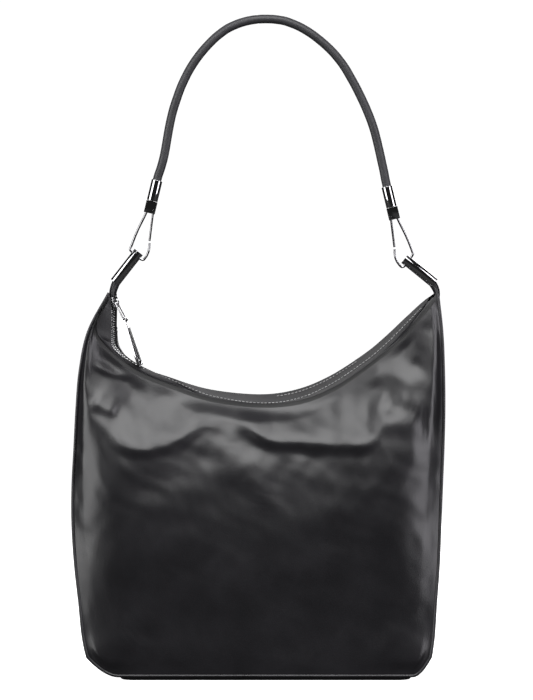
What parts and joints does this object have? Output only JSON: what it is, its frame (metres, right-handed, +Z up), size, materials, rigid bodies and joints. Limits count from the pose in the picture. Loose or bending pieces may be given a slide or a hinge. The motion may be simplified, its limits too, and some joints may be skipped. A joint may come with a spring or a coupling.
{
  "type": "hobo bag",
  "caption": "Slouching leather hobo bag with two raised horns, a sunken zip, and a rolled strap on snap hooks held in metal tubes at the horn tips.",
  "frame": {"origin": "middle of the base, on the surface the bag stands on", "axes": "+X to the right seen from the front, +Y from the front panel to the back panel, +Z up"},
  "size_m": [0.299, 0.1046, 0.5306],
  "materials": {
    "body_leather": "smooth semi-gloss black calf",
    "zip_facing_leather": "smooth semi-gloss black calf",
    "piping_leather": "smooth black calf, edge painted",
    "strap_leather": "smooth black calf rolled round a cord",
    "strap_core": "twisted cotton cord",
    "lining_cloth": "dark twill lining",
    "base_board": "fibre stiffener board",
    "zip_tape": "black woven tape",
    "zip_teeth_metal": "polished silver-coloured teeth",
    "zip_slider_metal": "polished silver-coloured slider and pull",
    "pull_insert": "black leather inlay",
    "polished_metal": "polished silver-coloured hardware"
  },
  "bodies": {
    "bag": {"front_panel": "body_leather", "back_panel": "body_leather", "left_gusset": "body_leather", "right_gusset": "body_leather", "base_panel": "body_leather", "base_board": "base_board", "front_piping": "piping_leather", "back_piping": "piping_leather", "front_lining": "lining_cloth", "back_lining": "lining_cloth", "left_lining": "lining_cloth", "right_lining": "lining_cloth", "base_lining": "lining_cloth", "front_zip_facing": "zip_facing_leather", "back_zip_facing": "zip_facing_leather", "front_zip_tape": "zip_tape", "back_zip_tape": "zip_tape", "front_zip_teeth": "zip_teeth_metal", "back_zip_teeth": "zip_teeth_metal", "zip_end_stops": "zip_teeth_metal"},
    "handle": {"left_tube": "polished_metal", "right_tube": "polished_metal", "left_neck": "strap_leather", "right_neck": "strap_leather", "strap_cover": "strap_leather", "strap_core": "strap_core", "left_ferrule": "polished_metal", "right_ferrule": "polished_metal", "left_swivel_stud": "polished_metal", "right_swivel_stud": "polished_metal", "left_hook_block": "polished_metal", "right_hook_block": "polished_metal", "left_hook_wire": "polished_metal", "right_hook_wire": "polished_metal", "left_gate_pin": "polished_metal", "right_gate_pin": "polished_metal", "left_gate_spring": "polished_metal", "right_gate_spring": "polished_metal"},
    "left_gate": {"left_gate": "polished_metal"},
    "right_gate": {"right_gate": "polished_metal"},
    "zip_slider": {"slider_body": "zip_slider_metal", "slider_crown": "zip_slider_metal"},
    "pull_link": {"pull_link": "zip_slider_metal"},
    "zip_pull": {"pull_frame": "zip_slider_metal", "pull_insert": "pull_insert"}
  },
  "joints": [
    {"name": "handle_fold", "type": "hinge", "parent": "bag", "child": "handle", "pos_m": [-0.1185, 0, 0.3125], "axis": [1, 0, 0], "range_deg": [-105, 105]},
    {"name": "left_gate_open", "type": "hinge", "parent": "handle", "child": "left_gate", "pos_m": [-0.08557, 0, 0.37271], "axis": [0, 1, 0], "range_deg": [0, 22]},
    {"name": "right_gate_open", "type": "hinge", "parent": "handle", "child": "right_gate", "pos_m": [0.10554, 0, 0.36778], "axis": [0, -1, 0], "range_deg": [0, 22]},
    {"name": "zip_slide", "type": "slide", "parent": "bag", "child": "zip_slider", "axis": [0, 0, -1], "range_m": [0, 0.018]},
    {"name": "link_lean", "type": "hinge", "parent": "zip_slider", "child": "pull_link", "pos_m": [-0.11507, -0.00139, 0.2985], "axis": [-0.3746, -0.9272, 0], "range_deg": [0, 21]},
    {"name": "pull_swing", "type": "hinge", "parent": "pull_link", "child": "zip_pull", "pos_m": [-0.10812, -0.0042, 0.28551], "axis": [-0.3746, -0.9272, 0], "range_deg": [0, 95]}
  ],
  "couplings": [
    {"joint": "link_lean", "follows": "zip_slide", "rad_per_m": 19.4}
  ]
}
